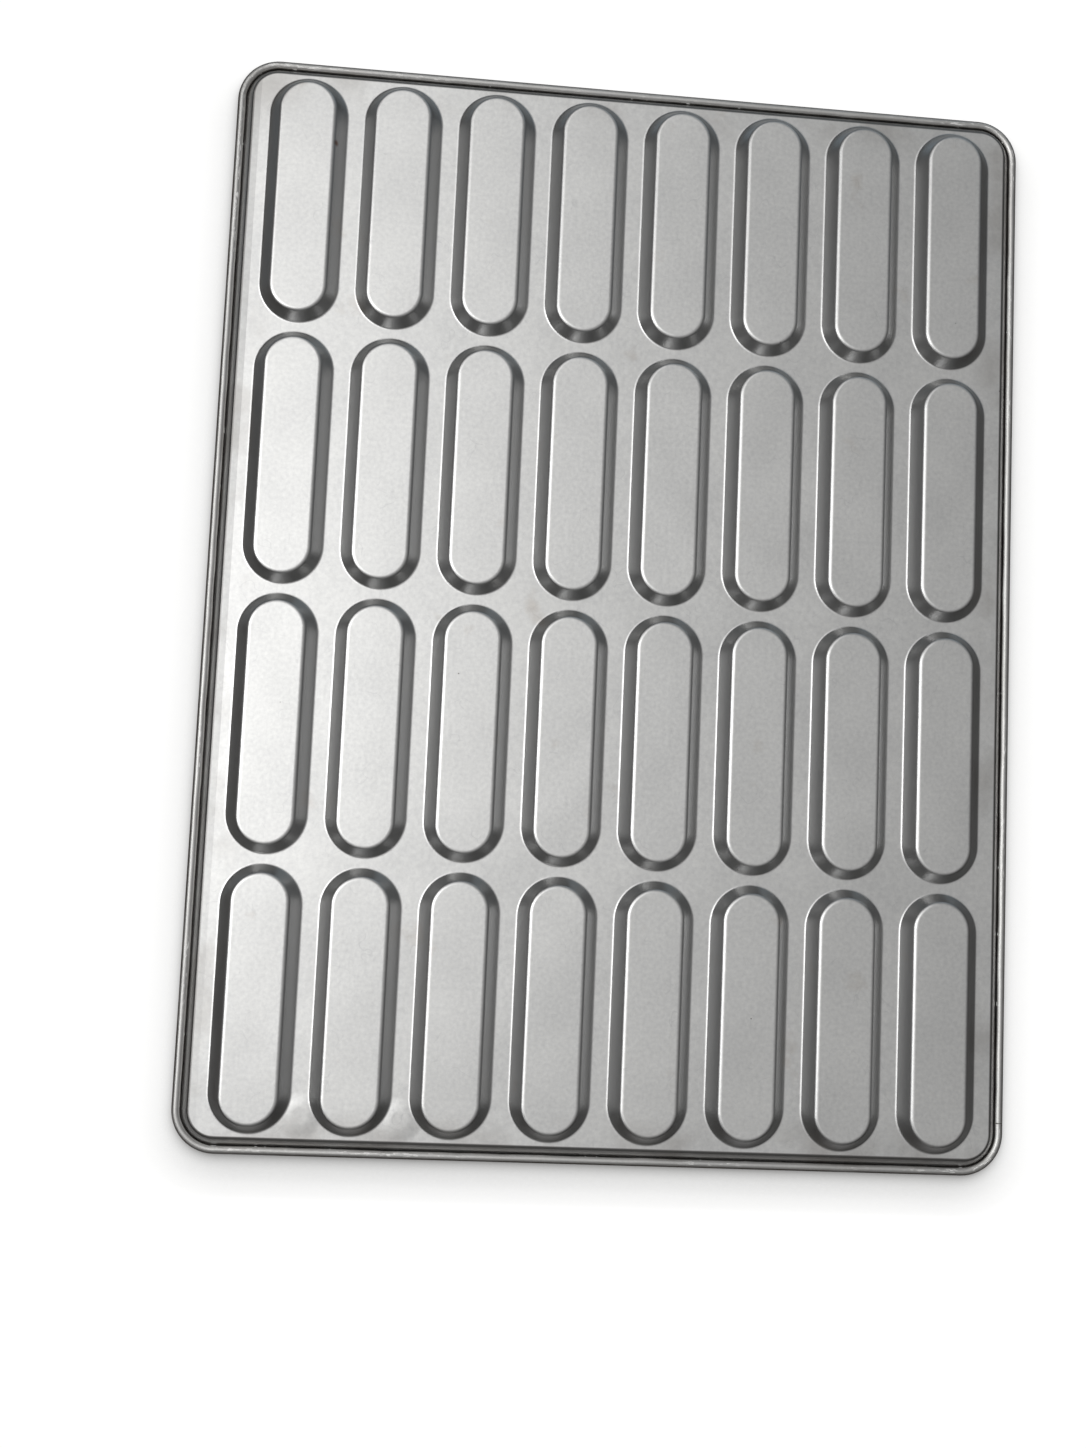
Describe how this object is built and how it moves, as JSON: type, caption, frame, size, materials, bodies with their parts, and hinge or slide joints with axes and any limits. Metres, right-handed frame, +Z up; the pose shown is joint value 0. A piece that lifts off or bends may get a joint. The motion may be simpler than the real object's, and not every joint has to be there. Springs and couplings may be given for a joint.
{
  "type": "hoagie bun pan",
  "caption": "Shallow bakery pan pressed from aluminized steel sheet, with rows of long round-ended bun moulds, low sloping sides and an edge curled round a wire.",
  "frame": {"origin": "centre of the pan's outline, level with the undersides of the mould floors", "axes": "+X across the moulds, +Y along the moulds and the pan's long side, +Z up, out of the moulds' mouths"},
  "size_m": [0.4908, 0.6578, 0.0175],
  "materials": {
    "aluminized_steel": "satin",
    "steel_wire": "satin"
  },
  "bodies": {
    "root": {"pan_sheet": "aluminized_steel", "rim_wire": "steel_wire"}
  },
  "joints": []
}
